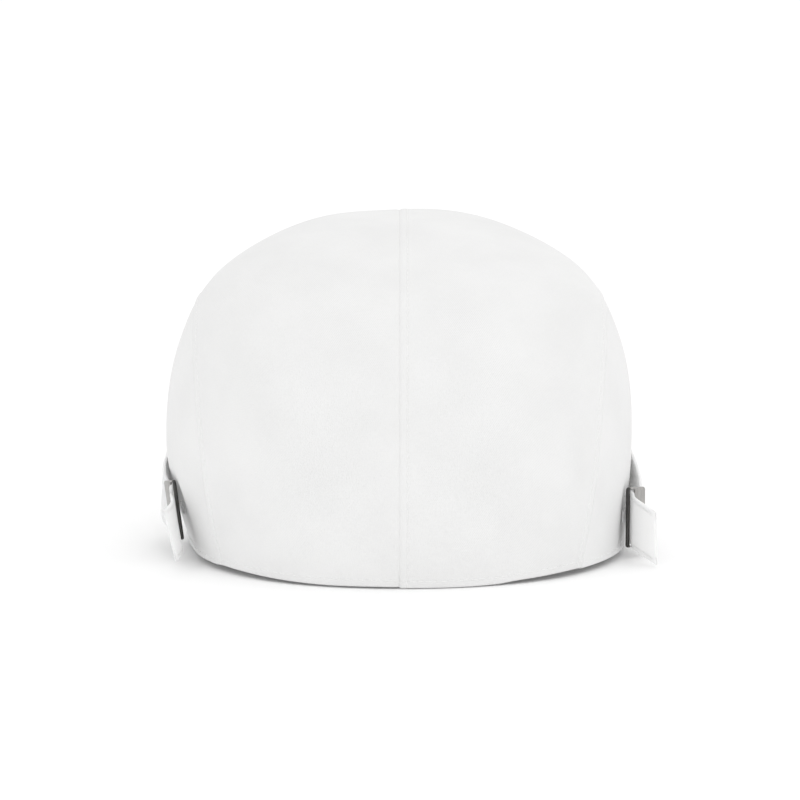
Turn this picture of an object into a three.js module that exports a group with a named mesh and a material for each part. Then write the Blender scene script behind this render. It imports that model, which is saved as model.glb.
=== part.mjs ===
// A white cotton flat cap, standing on its rim: two crown panels joined along the centre, two side
// panels, a stiff peak, and on each side a cloth adjuster strap through a metal slide buckle.
// Millimetres. +Z is up, +Y is the front with the peak, +X is the wearer's right. The pieces are shaped
// with zero on the floor at the middle of the head opening; the last lines move the cap so that zero is
// under the middle of its box.
import * as THREE from "three";

// Driving dimensions, for a head of about 58 cm.
const wall = 1.8;
const gap = 0.3;
const seamGap = 0.44;
const crownHeight = 129.3;
const apexY = -8;
const middle = { x: 2.7, y: 20 };

// The cap's outer lines, seen from above and measured from the apex: the lower edge and the widest line.
// Below the widest line the cloth tucks in to the edge, on the left more than on the right.
const edgeLine = { left: 80.4, right: 86.4, back: 95, front: 135, squareness: 2.2 };
const widestLine = { left: 89.2, right: 88.9, back: 102, front: 135, squareness: 2.16 };
const widestZ = { back: 44, left: 42, right: 46, front: 18 };
const fullness = { back: 2.55, left: 2.33, right: 2.36, front: 1.85 };
// How much squarer the crown is at its shoulder, and how much rounder near its top. The heights are parts
// of the way from the widest line to the top.
const shoulder = { squarer: 0.1, from: 0.4, full: 0.65, turning: 0.68, round: 0.95 };
// The lower edge is a little clear of the floor at the sides, and climbs onto the peak from peakFromY on.
// The cloth is raised with it up to a height of settleTop.
const rimLift = { side: 2.3, fromX: 22, toX: 85 };
const peakFromY = 30;
const settleTop = 60;

// The peak: a shallow arch, seen from above as a crescent between the head opening and its front edge.
const peak = { thick: 3, rise: 15, fall: 0.8, halfWidth: 76, startY: 55, frontY: 150 };
const peakRoot = { halfWidth: 68, frontY: 97 };

// The slide buckle: a flat plate with one upright slot near its rear end. It stands off the wall far
// enough for the tab under it, and opens out from the wall towards the front.
const buckle = {
  length: 12, height: 22.8, thick: 1.2, rearBar: 1.6, slot: 3.6, slotHeight: 21.4, corner: 1.2,
};
// slant is the angle in degrees at which the strap passes through the slot, dropInSlot how much lower than
// the slot's middle it has sunk there, and free the part of its way to the sewn end over which it comes
// back to the wall.
const strap = { thick: 1.2, width: 20, slant: 47, dropInSlot: 0.3, free: 0.66 };
const hugStand = 0.45;
const tab = { thick: 1, start: 0.8, length: 3.6, height: 4.6 };
const tabStand = 0.4;

// Each side's adjuster. wallY and midZ place the buckle's rear end on the wall. flare is the plate's angle
// to the wall, lean how far it is tipped in at the top from the wall's slope and dip how far its front is
// tipped down. The free end begins clearOfPlate out of the plate's middle and hangs at tailAngle to it. At
// tailCurve 0 it is straight, and at 1 it first follows the plate. It leaves the slot rootDrop lower than
// the slot's middle, sinks by tailDrop to its tip and twists by tailTwist. In front of the buckle the strap
// stands off by bow, leans in at the top by bowTwist, and is sewn on at sewnY and sewnZ.
const adjusters = [
  {
    side: "left", sign: -1, wallY: -42, midZ: 20, flare: 19, lean: 11, dip: 5,
    clearOfPlate: 1.5, tailAngle: 24, tailCurve: 0.8, tailLength: 22, tailDrop: 5, rootDrop: 3.8,
    tailTwist: -6, bow: 4, bowTwist: 17, sewnY: 44, sewnZ: 29,
  },
  {
    side: "right", sign: 1, wallY: -40, midZ: 16.2, flare: 26, lean: 7.8, dip: 4,
    clearOfPlate: 2, tailAngle: 60, tailCurve: 0, tailLength: 19, tailDrop: 5, rootDrop: 2,
    tailTwist: 2, bow: -11, bowTwist: 4, sewnY: 44, sewnZ: 30,
  },
];
// How far the adjuster draws the side wall in under the buckle.
const pinch = { y: -30, z: 16, halfLength: 22, halfHeight: 22, left: 3.7, right: 1.2 };

// The side seam: how far from the middle it lies, by the angle round the ear-to-ear line, from the hem
// at the back (0) over the top (90) to the peak (180).
const sideSeam = [
  { angle: 0, x: 67.5 },
  { angle: 25, x: 72.5 },
  { angle: 55, x: 76.5 },
  { angle: 85, x: 78 },
  { angle: 120, x: 76 },
  { angle: 150, x: 73 },
  { angle: 180, x: 71.5 },
];

// How finely the cloth is divided.
const rowsOverTop = 40;
const columnsAcross = 12;
const columnsDown = 14;
const peakColumns = 28;
const peakRows = 5;

const radians = THREE.MathUtils.degToRad;
const { lerp, smoothstep } = THREE.MathUtils;

// How far an outline reaches at a turn from the back (0) past the right (90) to the front (180).
function outlineReach(line, turn) {
  const across = Math.sin(turn);
  const along = Math.cos(turn);
  const halfWidth = across > 0 ? line.right : line.left;
  const halfLength = along > 0 ? line.back : line.front;
  const n = line.squareness;
  const sum = (Math.abs(across) / halfWidth) ** n + (Math.abs(along) / halfLength) ** n;
  return sum ** (-1 / n);
}

// A value that goes smoothly from the back round to the front, with its own value at the side.
function roundValue({ back, left, right, front }, turn) {
  const along = Math.cos(turn);
  const side = lerp(left, right, smoothstep(Math.sin(turn), -1, 1));
  return along > 0 ? lerp(side, back, along ** 2) : lerp(side, front, along ** 2);
}

// The distance from the upright line through the apex to the cloth's outer face, at a turn and a height.
function reach(turn, z) {
  const widest = outlineReach(widestLine, turn);
  const heightOfWidest = roundValue(widestZ, turn);
  if (z < heightOfWidest) {
    const edge = outlineReach(edgeLine, turn);
    return edge + (widest - edge) * Math.sin((Math.PI / 2) * (z / heightOfWidest));
  }
  const rise = Math.min((z - heightOfWidest) / (crownHeight - heightOfWidest), 1);
  const squarer = smoothstep(rise, shoulder.from, shoulder.full);
  const rounder = smoothstep(rise, shoulder.turning, shoulder.round);
  const n = roundValue(fullness, turn) + shoulder.squarer * (squarer - 2 * rounder);
  return widest * (1 - rise ** n) ** (1 / n);
}

// Height of the peak's upper face.
function peakTop(x, y) {
  const arch = 1 - (x / (peak.halfWidth + 0.5)) ** 2;
  const fall = 1 - peak.fall * THREE.MathUtils.clamp((y - peak.startY) / (peak.frontY - peak.startY), 0, 1);
  return peak.thick + peak.rise * Math.max(arch, 0) * fall;
}

// Height of the crown's lower edge: on the floor at the back, a little clear of it at the sides, and on
// the peak at the front.
function edgeHeight(x, y) {
  const lift = rimLift.side * smoothstep(Math.abs(x), rimLift.fromX, rimLift.toX);
  return lerp(lift, peakTop(x, y) + gap, smoothstep(y, peakFromY, peak.startY));
}

// Raises the low part of the crown so that it ends at its edge.
function settle(point) {
  const low = 1 - smoothstep(point.z, 0, settleTop);
  point.z += edgeHeight(point.x, point.y) * low;
  return point;
}

// A point of the outer face where a plane through the ear-to-ear line, at an angle from the back, meets
// the line at x. Found by halving.
function crownPoint(angle, x) {
  const up = Math.sin(angle);
  const back = -Math.cos(angle);
  let near = 0;
  let far = 200;
  for (let step = 0; step < 40; step += 1) {
    const out = (near + far) / 2;
    const y = out * back;
    const turn = Math.atan2(x, -y);
    const inside = out * up < crownHeight && Math.hypot(x, y) < reach(turn, out * up);
    if (inside) near = out;
    else far = out;
  }
  return new THREE.Vector3(x, near * back + apexY, near * up);
}

// A point of the outer face at a turn and a height.
function wallPoint(turn, z) {
  const out = reach(turn, z);
  const y = apexY - out * Math.cos(turn);
  const along = 1 - smoothstep(Math.abs(y - pinch.y), 0, pinch.halfLength);
  const up = 1 - smoothstep(Math.abs(z - pinch.z), 0, pinch.halfHeight);
  const depth = (turn > 0 ? pinch.right : pinch.left) * along * up;
  return new THREE.Vector3((out - depth) * Math.sin(turn), y, z);
}

// How far from the middle the side seam lies at an angle: a smooth curve through the rows of sideSeam.
function seamX(angle) {
  const degrees = THREE.MathUtils.radToDeg(angle);
  const next = Math.max(sideSeam.findIndex((row) => row.angle >= degrees - 1e-9), 1);
  const [a, b, c, d] = [-2, -1, 0, 1].map(
    (step) => sideSeam[THREE.MathUtils.clamp(next + step, 0, sideSeam.length - 1)],
  );
  const t = (degrees - b.angle) / (c.angle - b.angle);
  const span = c.angle - b.angle;
  const slopeB = (c.x - a.x) / (c.angle - a.angle);
  const slopeC = (d.x - b.x) / (d.angle - b.angle);
  const blend = t ** 2 * (3 - 2 * t);
  const fromB = (t ** 3 - 2 * t ** 2 + t) * span * slopeB;
  const fromC = (t ** 3 - t ** 2) * span * slopeC;
  return lerp(b.x, c.x, blend) + fromB + fromC;
}

// The unit normal at each point of a grid, from its neighbours. outward is a rough direction to face.
function gridNormals(grid, outward) {
  return grid.map((row, i) =>
    row.map((point, j) => {
      const along = grid[Math.min(i + 1, grid.length - 1)][j].clone().sub(grid[Math.max(i - 1, 0)][j]);
      const across = row[Math.min(j + 1, row.length - 1)].clone().sub(row[Math.max(j - 1, 0)]);
      const normal = along.cross(across).normalize();
      return normal.dot(outward(point)) < 0 ? normal.negate() : normal;
    }),
  );
}

// A closed solid between two grids of points of the same size: both faces and the edge all round.
function slab(face, backFace) {
  const rows = face.length;
  const columns = face[0].length;
  const points = [...face.flat(), ...backFace.flat()];
  const half = rows * columns;
  const at = (i, j) => i * columns + j;
  const triangles = [];
  const quad = (a, b, c, d) => triangles.push(a, b, c, a, c, d);
  for (let i = 0; i < rows - 1; i += 1) {
    for (let j = 0; j < columns - 1; j += 1) {
      quad(at(i, j), at(i + 1, j), at(i + 1, j + 1), at(i, j + 1));
      quad(half + at(i, j), half + at(i, j + 1), half + at(i + 1, j + 1), half + at(i + 1, j));
    }
  }
  const border = [];
  for (let i = 0; i < rows - 1; i += 1) border.push(at(i, 0));
  for (let j = 0; j < columns - 1; j += 1) border.push(at(rows - 1, j));
  for (let i = rows - 1; i > 0; i -= 1) border.push(at(i, columns - 1));
  for (let j = columns - 1; j > 0; j -= 1) border.push(at(0, j));
  border.forEach((a, k) => {
    const b = border[(k + 1) % border.length];
    quad(a, half + a, half + b, b);
  });
  const geometry = new THREE.BufferGeometry();
  geometry.setAttribute(
    "position",
    new THREE.Float32BufferAttribute(points.flatMap((p) => p.toArray()), 3),
  );
  geometry.setIndex(triangles);
  if (enclosedVolume(geometry) < 0) {
    for (let k = 0; k < triangles.length; k += 3) {
      [triangles[k + 1], triangles[k + 2]] = [triangles[k + 2], triangles[k + 1]];
    }
    geometry.setIndex(triangles);
  }
  geometry.computeVertexNormals();
  return geometry;
}

// Volume inside a closed indexed geometry; negative when its faces point inwards.
function enclosedVolume(geometry) {
  const position = geometry.getAttribute("position");
  const corner = (k) => new THREE.Vector3().fromBufferAttribute(position, geometry.index.getX(k));
  let sum = 0;
  for (let k = 0; k < geometry.index.count; k += 3) {
    sum += corner(k).dot(corner(k + 1).cross(corner(k + 2)));
  }
  return sum / 6;
}

// A cloth panel from the grid of its outer face. The inner face lies one wall inside, and where the outer
// face ends at the cap's lower edge the inner one ends level with it.
function clothPanel(grid) {
  const outward = (p) => new THREE.Vector3(p.x, p.y - apexY, Math.max(p.z, 0));
  const normals = gridNormals(grid, outward);
  const inner = grid.map((row, i) =>
    row.map((point, j) => {
      const moved = point.clone().addScaledVector(normals[i][j], -wall);
      const lowest = edgeHeight(moved.x, moved.y);
      const atEdge = point.z - edgeHeight(point.x, point.y) < 1e-6;
      moved.z = atEdge ? lowest : Math.max(moved.z, lowest);
      return moved;
    }),
  );
  return slab(grid, inner);
}

// One half of the crown, from the centre seam out to the side seam, on the side given by sign.
function crownHalf(sign) {
  const grid = [];
  for (let i = 0; i <= rowsOverTop; i += 1) {
    const angle = (Math.PI * i) / rowsOverTop;
    const row = [];
    for (let j = 0; j <= columnsAcross; j += 1) {
      const x = lerp(gap / 2, seamX(angle) - seamGap / 2, j / columnsAcross);
      row.push(settle(crownPoint(angle, sign * x)));
    }
    grid.push(row);
  }
  return clothPanel(grid);
}

// One side panel: upright strips from the hem to the side seam.
function sidePanel(sign) {
  const seam = [];
  for (let i = 0; i <= rowsOverTop; i += 1) {
    const angle = (Math.PI * i) / rowsOverTop;
    const point = crownPoint(angle, sign * (seamX(angle) + seamGap / 2));
    seam.push({ turn: Math.atan2(point.x, apexY - point.y), z: point.z });
  }
  const first = seam[0].turn;
  const last = seam[rowsOverTop].turn;
  const grid = [];
  for (let i = 1; i < rowsOverTop; i += 1) {
    const hemTurn = lerp(first, last, i / rowsOverTop);
    const row = [];
    for (let j = 0; j <= columnsDown; j += 1) {
      const up = j / columnsDown;
      const turn = lerp(hemTurn, seam[i].turn, up);
      row.push(settle(wallPoint(turn, seam[i].z * up)));
    }
    grid.push(row);
  }
  return clothPanel(grid);
}

// The peak, from its root along the head opening out to its front edge.
function peakPlate() {
  const top = [];
  for (let i = 0; i <= peakColumns; i += 1) {
    const turn = lerp(-Math.PI / 2, Math.PI / 2, i / peakColumns);
    const row = [];
    for (let j = 0; j <= peakRows; j += 1) {
      const out = j / peakRows;
      const x = Math.sin(turn) * lerp(peakRoot.halfWidth, peak.halfWidth, out);
      const y = peak.startY + Math.cos(turn) * (lerp(peakRoot.frontY, peak.frontY, out) - peak.startY);
      row.push(new THREE.Vector3(x, y, peakTop(x, y)));
    }
    top.push(row);
  }
  const under = top.map((row) => row.map((p) => new THREE.Vector3(p.x, p.y, p.z - peak.thick)));
  return slab(top, under);
}

// The turn at which the side wall reaches a place along the cap. Found by halving.
function turnAtY(sign, y, z) {
  let near = 0;
  let far = Math.PI;
  for (let step = 0; step < 40; step += 1) {
    const turn = (near + far) / 2;
    if (wallPoint(sign * turn, z).y < y) near = turn;
    else far = turn;
  }
  return sign * near;
}

// A place on the side wall: the point and the directions forward along it, up along it and out of it.
function wallFrame(sign, y, z) {
  const point = wallPoint(turnAtY(sign, y, z), z);
  const forward = wallPoint(turnAtY(sign, y + 1, z), z).sub(point).normalize();
  const up = wallPoint(turnAtY(sign, y, z + 1), z + 1).sub(point).normalize();
  const out = forward.clone().cross(up).normalize();
  if (out.x * sign < 0) out.negate();
  up.copy(out).cross(forward).normalize();
  if (up.z < 0) up.negate();
  return { point, forward, up, out };
}

// The buckle's own frame: zero at the middle of its rear end, along the plate, up it and out of it.
function buckleFrame({ sign, wallY, midZ, flare, lean, dip }) {
  const at = wallFrame(sign, wallY, midZ);
  const stand = tabStand + tab.thick + tabStand + buckle.thick / 2;
  const along = at.forward.clone();
  const up = at.up.clone();
  const out = at.out.clone();
  const tip = (first, second, degrees) => {
    const before = first.clone();
    first.multiplyScalar(Math.cos(radians(degrees))).addScaledVector(second, Math.sin(radians(degrees)));
    second.multiplyScalar(Math.cos(radians(degrees))).addScaledVector(before, -Math.sin(radians(degrees)));
  };
  tip(along, out, flare);
  tip(up, out, -lean);
  tip(along, up, -dip);
  const origin = at.point.clone().addScaledVector(at.out, stand);
  const place = (u, n, h = 0) =>
    origin.clone().addScaledVector(along, u).addScaledVector(out, n).addScaledVector(up, h);
  return { along, out, up, origin, place };
}

// Adds a rectangle with rounded corners to a path.
function roundedRectangle(path, left, bottom, width, height, corner) {
  const right = left + width;
  const top = bottom + height;
  path.moveTo(left + corner, bottom);
  path.lineTo(right - corner, bottom);
  path.absarc(right - corner, bottom + corner, corner, -Math.PI / 2, 0, false);
  path.lineTo(right, top - corner);
  path.absarc(right - corner, top - corner, corner, 0, Math.PI / 2, false);
  path.lineTo(left + corner, top);
  path.absarc(left + corner, top - corner, corner, Math.PI / 2, Math.PI, false);
  path.lineTo(left, bottom + corner);
  path.absarc(left + corner, bottom + corner, corner, Math.PI, Math.PI * 1.5, false);
}

// The buckle's plate in its own frame.
function bucklePlate() {
  const outline = new THREE.Shape();
  roundedRectangle(outline, 0, -buckle.height / 2, buckle.length, buckle.height, buckle.corner);
  const hole = new THREE.Path();
  const { rearBar, slot, slotHeight, corner } = buckle;
  roundedRectangle(hole, rearBar, -slotHeight / 2, slot, slotHeight, corner / 3);
  outline.holes.push(hole);
  const settings = { depth: buckle.thick, bevelEnabled: false, curveSegments: 4 };
  const plate = new THREE.ExtrudeGeometry(outline, settings);
  plate.translate(0, 0, -buckle.thick / 2);
  return plate;
}

// The strap's line in the buckle's frame and then along the wall, from the tip of the tail to the sewn
// end. It leaves the buckle through the slot, runs behind the plate and comes back to the wall.
function strapGrid(adjuster) {
  const { sign, midZ, tailAngle, tailLength, bow, sewnY, sewnZ } = adjuster;
  const frame = buckleFrame(adjuster);
  const slotMiddle = buckle.rearBar + buckle.slot / 2;
  const behind = -(buckle.thick / 2 + gap + strap.thick / 2);
  const slant = Math.tan(radians(strap.slant));
  const clear = { u: slotMiddle - adjuster.clearOfPlate / slant, n: adjuster.clearOfPlate };
  const tail = radians(tailAngle);
  const leant = (up, out, degrees) => {
    const by = radians(degrees);
    return up.clone().multiplyScalar(Math.cos(by)).addScaledVector(out, -Math.sin(by));
  };
  const centre = [];
  for (const part of [1, 0.8, 0.6, 0.4, 0.2, 0.08, 0]) {
    const free = tailLength * part;
    const drop = adjuster.rootDrop + adjuster.tailDrop * part;
    const away = free * Math.sin(tail) * lerp(1, part, adjuster.tailCurve);
    const point = frame.place(clear.u - free * Math.cos(tail), clear.n + away, -drop);
    centre.push({ point, up: leant(frame.up, frame.out, adjuster.tailTwist * part) });
  }
  const bend = slotMiddle - behind / slant;
  const front = frame.place(buckle.length, behind);
  const face = (buckle.thick + strap.thick) / 2;
  const inBuckle = [
    frame.place(slotMiddle - face / slant, face, -strap.dropInSlot),
    frame.place(slotMiddle, 0, -strap.dropInSlot / 2),
    frame.place(bend, behind),
    frame.place(lerp(bend, buckle.length, 0.7), behind),
    front,
  ];
  centre.push(...inBuckle.map((point) => ({ point, up: frame.up })));
  const startOff = front.distanceTo(wallFrame(sign, front.y, midZ).point);
  const hug = hugStand + strap.thick / 2;
  for (const part of [0.15, 0.3, 0.45, 0.6, 0.7, 0.8, 0.9, 1]) {
    const y = lerp(front.y, sewnY, part);
    const z = lerp(midZ, sewnZ, part);
    const at = wallFrame(sign, y, z);
    const free = 1 - smoothstep(part, 0, strap.free);
    const off = lerp(hug, startOff, free) + bow * part * free ** 2;
    const lean = adjuster.bowTwist * Math.sin(Math.PI * Math.min(part / strap.free, 1) ** 0.6);
    centre.push({ point: at.point.addScaledVector(at.out, off), up: leant(at.up, at.out, lean) });
  }
  return centre.map(({ point, up }) =>
    [-0.5, 0, 0.5].map((h) => point.clone().addScaledVector(up, h * strap.width)),
  );
}

// A flat band of even thickness about a grid of points on its middle.
function band(grid, thick, outward) {
  const normals = gridNormals(grid, outward);
  const shifted = (by) =>
    grid.map((row, i) => row.map((p, j) => p.clone().addScaledVector(normals[i][j], by)));
  return slab(shifted(thick / 2), shifted(-thick / 2));
}

// The short cloth tab on the wall under the buckle.
function tabGrid({ sign, wallY, midZ }) {
  return [0, 0.5, 1].map((along) =>
    [-0.5, 0, 0.5].map((up) => {
      const at = wallFrame(sign, wallY + tab.start + along * tab.length, midZ + up * tab.height);
      return at.point.addScaledVector(at.out, tabStand / 2 + gap / 2 + tab.thick / 2);
    }),
  );
}

const cloth = { color: 0xefefee, roughness: 0.9, metalness: 0 };
const steel = { color: 0xb4b1ac, roughness: 0.35, metalness: 1 };

const cap = new THREE.Group();

// Adds one named piece to the cap.
function addPiece(name, geometry, look) {
  const piece = new THREE.Mesh(geometry, new THREE.MeshStandardMaterial(look));
  piece.name = name;
  cap.add(piece);
  return piece;
}

addPiece("peak", peakPlate(), cloth);
for (const adjuster of adjusters) {
  const { side, sign } = adjuster;
  addPiece(`crown_${side}`, crownHalf(sign), cloth);
  addPiece(`side_${side}`, sidePanel(sign), cloth);
  const outward = () => new THREE.Vector3(sign, 0, 0);
  addPiece(`strap_${side}`, band(strapGrid(adjuster), strap.thick, outward), cloth);
  addPiece(`buckle_tab_${side}`, band(tabGrid(adjuster), tab.thick, outward), cloth);
  const plate = addPiece(`buckle_${side}`, bucklePlate(), steel);
  const { along, up, origin } = buckleFrame(adjuster);
  const across = along.clone().cross(up);
  plate.quaternion.setFromRotationMatrix(new THREE.Matrix4().makeBasis(along, up, across));
  plate.position.copy(origin);
}

cap.position.set(-middle.x, -middle.y, 0);

export default cap;
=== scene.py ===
import math

import bpy
import numpy as np
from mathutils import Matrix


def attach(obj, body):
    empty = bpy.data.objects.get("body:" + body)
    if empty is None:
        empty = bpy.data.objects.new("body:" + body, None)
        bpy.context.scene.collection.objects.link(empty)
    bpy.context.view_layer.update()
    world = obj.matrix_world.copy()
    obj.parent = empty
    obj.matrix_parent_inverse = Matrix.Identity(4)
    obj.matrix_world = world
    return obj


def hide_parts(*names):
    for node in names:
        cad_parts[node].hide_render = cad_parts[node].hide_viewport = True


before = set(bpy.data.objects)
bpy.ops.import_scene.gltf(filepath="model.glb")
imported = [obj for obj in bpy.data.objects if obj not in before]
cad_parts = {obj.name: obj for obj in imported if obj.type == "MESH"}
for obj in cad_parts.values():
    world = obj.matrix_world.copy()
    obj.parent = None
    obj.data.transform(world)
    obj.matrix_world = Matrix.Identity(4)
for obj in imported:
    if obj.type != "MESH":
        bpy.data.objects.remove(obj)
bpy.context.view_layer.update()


# The view: the cap stands on a plain white table in a bright, even studio and is seen straight from
# behind and a little above, from far off, so that its outline is nearly a flat drawing.
def directed(object_, target):
    """Turns a camera or a lamp so that it faces a point."""
    way = np.array(target) - np.array(object_.location)
    flat = math.hypot(way[0], way[1])
    object_.rotation_euler = (
        math.atan2(flat, -way[2]),
        0.0,
        math.atan2(way[1], way[0]) - math.pi / 2,
    )


scene = bpy.context.scene
scene.view_settings.view_transform = "Standard"

camera_lift = math.radians(8.5)
camera_distance = 2.2
camera_aim = (-0.0025, -0.020, 0.0549)
camera = bpy.data.objects.new("camera", bpy.data.cameras.new("camera"))
camera.data.sensor_width = 36.0
camera.data.lens = 257.8
camera.location = (
    camera_aim[0],
    camera_aim[1] - camera_distance * math.cos(camera_lift),
    camera_aim[2] + camera_distance * math.sin(camera_lift),
)
directed(camera, camera_aim)
scene.collection.objects.link(camera)
scene.camera = camera

world = bpy.data.worlds.new("studio")
world.use_nodes = True
studio_light = world.node_tree.nodes["Background"].inputs
studio_light["Color"].default_value = (1.0, 1.0, 1.0, 1.0)
studio_light["Strength"].default_value = 1.0
scene.world = world

# name, place, width, power in watts
studio_lamps = [
    ("lamp_above", (0.35, -0.15, 1.3), 0.9, 1.0),
    ("lamp_behind_camera", (0.3, -2.6, 0.5), 3.0, 6.0),
]
lamp_aim = (0.0, 0.0, 0.06)
for name, place, width, power in studio_lamps:
    lamp = bpy.data.objects.new(name, bpy.data.lights.new(name, "AREA"))
    lamp.data.size = width
    lamp.data.energy = power
    lamp.location = place
    directed(lamp, lamp_aim)
    scene.collection.objects.link(lamp)

table_reach = 30.0
table_corners = [(-1, -1), (1, -1), (1, 1), (-1, 1)]
table_mesh = bpy.data.meshes.new("table")
table_mesh.from_pydata(
    [(x * table_reach, y * table_reach, 0.0) for x, y in table_corners], [], [(0, 1, 2, 3)]
)
table = bpy.data.objects.new("table", table_mesh)
table_white = bpy.data.materials.new("table_white")
table_white.use_nodes = True
table_paint = table_white.node_tree.nodes["Principled BSDF"].inputs
table_paint["Base Color"].default_value = (0.95, 0.95, 0.95, 1.0)
table_paint["Roughness"].default_value = 1.0
table_paint["Emission Color"].default_value = (1.0, 1.0, 1.0, 1.0)
table_paint["Emission Strength"].default_value = 0.07
table_mesh.materials.append(table_white)
scene.collection.objects.link(table)


# The crown: two cloth panels cut in curves, sewn to each other along the middle of the cap. The seam's
# spare cloth is pressed to the right and stitched down, and the lower edge is folded in and stitched.
# Sizes are millimetres; zero is on the table at the middle of the head opening.
wall = 1.8
crown_height = 129.3
apex_y = -8.0
edge_line = {"left": 80.4, "right": 86.4, "back": 95.0, "front": 135.0, "squareness": 2.2}
widest_line = {"left": 89.2, "right": 88.9, "back": 102.0, "front": 135.0, "squareness": 2.16}
widest_z = {"back": 44.0, "left": 42.0, "right": 46.0, "front": 18.0}
fullness = {"back": 2.55, "left": 2.33, "right": 2.36, "front": 1.85}
shoulder = {"squarer": 0.1, "from": 0.4, "full": 0.65, "turning": 0.68, "round": 0.95}
rim_lift = {"side": 2.3, "from_x": 22.0, "to_x": 85.0}
peak = {
    "thick": 3.0, "rise": 15.0, "fall": 0.8, "half_width": 76.0, "arch_past_side": 0.5,
    "start_y": 55.0, "front_y": 150.0,
}
peak_from_y = 30.0
seat_gap = 0.3
settle_top = 60.0
halvings = 40

# The middle of the whole cap's box, which is zero in the shared frame.
middle = np.array((2.7, 20.0, 0.0))

# The side seam: degrees over the crown from the back to the front, and how far from the middle it lies.
seam_angle = (0.0, 25.0, 55.0, 85.0, 120.0, 150.0, 180.0)
seam_x = (67.5, 72.5, 76.5, 78.0, 76.0, 73.0, 71.5)


def between(a, b, t):
    return a + (b - a) * t


def eased(value, low, high):
    """0 below low, 1 above high, and a smooth S between them."""
    t = np.clip((value - low) / (high - low), 0.0, 1.0)
    return t * t * (3 - 2 * t)


def outline_reach(line, turn):
    """How far an outline reaches, at a turn from the back past the right to the front."""
    across, along = np.sin(turn), np.cos(turn)
    half_width = np.where(across > 0, line["right"], line["left"])
    half_length = np.where(along > 0, line["back"], line["front"])
    n = line["squareness"]
    return ((np.abs(across) / half_width) ** n + (np.abs(along) / half_length) ** n) ** (-1 / n)


def round_value(values, turn):
    """A value at a turn, from those given for the back, the left, the right and the front."""
    along = np.cos(turn)
    side = between(values["left"], values["right"], eased(np.sin(turn), -1, 1))
    end = np.where(along > 0, values["back"], values["front"])
    return between(side, end, along**2)


def reach(turn, z):
    """Distance from the upright line through the apex to the cloth's outer face."""
    widest = outline_reach(widest_line, turn)
    edge = outline_reach(edge_line, turn)
    height = round_value(widest_z, turn)
    below = edge + (widest - edge) * np.sin(np.pi / 2 * np.clip(z / height, 0, 1))
    rise = np.clip((z - height) / (crown_height - height), 0, 1)
    squarer = eased(rise, shoulder["from"], shoulder["full"])
    rounder = eased(rise, shoulder["turning"], shoulder["round"])
    n = round_value(fullness, turn) + shoulder["squarer"] * (squarer - 2 * rounder)
    above = widest * (1 - rise**n) ** (1 / n)
    return np.where(z < height, below, above)


def peak_top(x, y):
    arch = 1 - (x / (peak["half_width"] + peak["arch_past_side"])) ** 2
    forward = np.clip((y - peak["start_y"]) / (peak["front_y"] - peak["start_y"]), 0, 1)
    return peak["thick"] + peak["rise"] * np.maximum(arch, 0) * (1 - peak["fall"] * forward)


def edge_height(x, y):
    """Height of the crown's lower edge."""
    lift = rim_lift["side"] * eased(np.abs(x), rim_lift["from_x"], rim_lift["to_x"])
    return between(lift, peak_top(x, y) + seat_gap, eased(y, peak_from_y, peak["start_y"]))


def settled(points):
    """Raises the low part of the cloth so that it ends at its edge."""
    low = 1 - eased(points[..., 2], 0, settle_top)
    lifted = points.copy()
    lifted[..., 2] += edge_height(points[..., 0], points[..., 1]) * low
    return lifted


def crown_point(angle, x):
    """The outer face where a plane through the ear-to-ear line meets the line at x."""
    angle, x = np.broadcast_arrays(angle, x)
    up, back = np.sin(angle), -np.cos(angle)
    past_cloth = 200.0
    near, far = np.zeros(x.shape), np.full(x.shape, past_cloth)
    for _ in range(halvings):
        out = (near + far) / 2
        y, z = out * back, out * up
        inside = (z < crown_height) & (np.hypot(x, y) < reach(np.arctan2(x, -y), z))
        near, far = np.where(inside, out, near), np.where(inside, far, out)
    return np.stack([x, near * back + apex_y, near * up], axis=-1)


def side_seam_x(angle):
    """How far from the middle the side seam lies: a smooth curve through its table."""
    degrees, slopes = np.degrees(angle), []
    for i in range(len(seam_x)):
        a, b = max(i - 1, 0), min(i + 1, len(seam_x) - 1)
        slopes.append((seam_x[b] - seam_x[a]) / (seam_angle[b] - seam_angle[a]))
    k = np.clip(np.searchsorted(seam_angle, degrees) - 1, 0, len(seam_x) - 2)
    angles, places, slopes = np.array(seam_angle), np.array(seam_x), np.array(slopes)
    span = angles[k + 1] - angles[k]
    t = (degrees - angles[k]) / span
    blend = t * t * (3 - 2 * t)
    bend = (t**3 - 2 * t**2 + t) * slopes[k] + (t**3 - t**2) * slopes[k + 1]
    return between(places[k], places[k + 1], blend) + bend * span


def lengths_along(points):
    """Distance travelled along the last but one axis of a grid of points."""
    steps = np.linalg.norm(np.diff(points, axis=-2), axis=-1)
    return np.concatenate([np.zeros(steps.shape[:-1] + (1,)), np.cumsum(steps, axis=-1)], axis=-1)


def inner_count(total, near, far, apart):
    """How many places fit between those near both ends, about a distance apart."""
    return max(int((total - far[-1] - near[-1]) / apart), 2) - 1


def places_between(total, near, far, inside):
    """Places from 0 to total: given ones near both ends, and a number of even ones between them."""
    last = total - np.array(far)[::-1]
    return np.concatenate([near, np.linspace(near[-1], last[0], inside + 2)[1:-1], last])


def stops_between(total, near, far, apart):
    """Places from 0 to total: close together near both ends, and about a distance apart between."""
    return places_between(total, near, far, inner_count(total, near, far, apart))


# Distances from a seam or an edge at which a panel's grid has a line.
edge_steps = (
    0, 0.08, 0.2, 0.4, 0.65, 0.95, 1.3, 1.7, 2.1, 2.4,
    2.65, 2.85, 3.0, 3.15, 3.35, 3.6, 4.0, 4.6, 5.4,
)


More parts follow.
